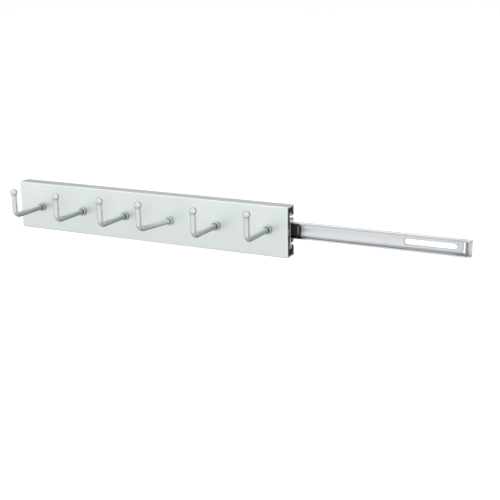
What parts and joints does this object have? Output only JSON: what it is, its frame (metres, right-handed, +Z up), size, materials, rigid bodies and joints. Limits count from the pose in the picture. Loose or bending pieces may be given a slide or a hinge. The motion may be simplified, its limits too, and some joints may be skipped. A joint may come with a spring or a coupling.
{
  "type": "sliding belt rack",
  "caption": "Pull-out closet rack: a slim aluminium rail with ball-tipped J-shaped hooks, riding on a ball-bearing slide whose inner member screws to the wall.",
  "frame": {"origin": "midway between the wall rail's two screw holes, on the rail's rear face", "axes": "+X along the rail towards its long slot, +Y into the wall, +Z up"},
  "size_m": [0.4706, 0.0601, 0.0522],
  "materials": {
    "aluminium": "satin anodised",
    "hook_steel": "satin nickel plated",
    "zinc_steel": "bright zinc plated",
    "cage_steel": "plain rolled",
    "ball_steel": "polished",
    "black_plastic": "fine matt"
  },
  "bodies": {
    "wall_rail_body": {"wall_rail": "zinc_steel", "latch_block": "black_plastic"},
    "middle_stage": {"slide_middle_member": "zinc_steel"},
    "rack": {"rack_profile": "aluminium", "end_plug_left": "black_plastic", "end_plug_right": "black_plastic", "hook_1": "hook_steel", "hook_2": "hook_steel", "hook_3": "hook_steel", "hook_4": "hook_steel", "hook_5": "hook_steel", "hook_6": "hook_steel", "hook_collar_1": "hook_steel", "hook_collar_2": "hook_steel", "hook_collar_3": "hook_steel", "hook_collar_4": "hook_steel", "hook_collar_5": "hook_steel", "hook_collar_6": "hook_steel", "slide_outer_member": "zinc_steel", "slide_spacers": "zinc_steel", "slide_screws": "zinc_steel"},
    "inner_cage_body": {"inner_ball_cage": "cage_steel", "inner_balls": "ball_steel"},
    "outer_cage_body": {"outer_ball_cage": "cage_steel", "outer_balls": "ball_steel"}
  },
  "joints": [
    {"name": "inner_stage", "type": "slide", "parent": "wall_rail_body", "child": "middle_stage", "axis": [1, 0, 0], "range_m": [0, 0.165]},
    {"name": "outer_stage", "type": "slide", "parent": "middle_stage", "child": "rack", "axis": [-1, 0, 0], "range_m": [0, 0.15]},
    {"name": "inner_cage", "type": "slide", "parent": "wall_rail_body", "child": "inner_cage_body", "axis": [1, 0, 0], "range_m": [0, 0.0825]},
    {"name": "outer_cage", "type": "slide", "parent": "middle_stage", "child": "outer_cage_body", "axis": [-1, 0, 0], "range_m": [0, 0.075]}
  ],
  "couplings": [
    {"joint": "inner_cage", "follows": "inner_stage", "ratio": 0.5},
    {"joint": "outer_cage", "follows": "outer_stage", "ratio": 0.5}
  ]
}
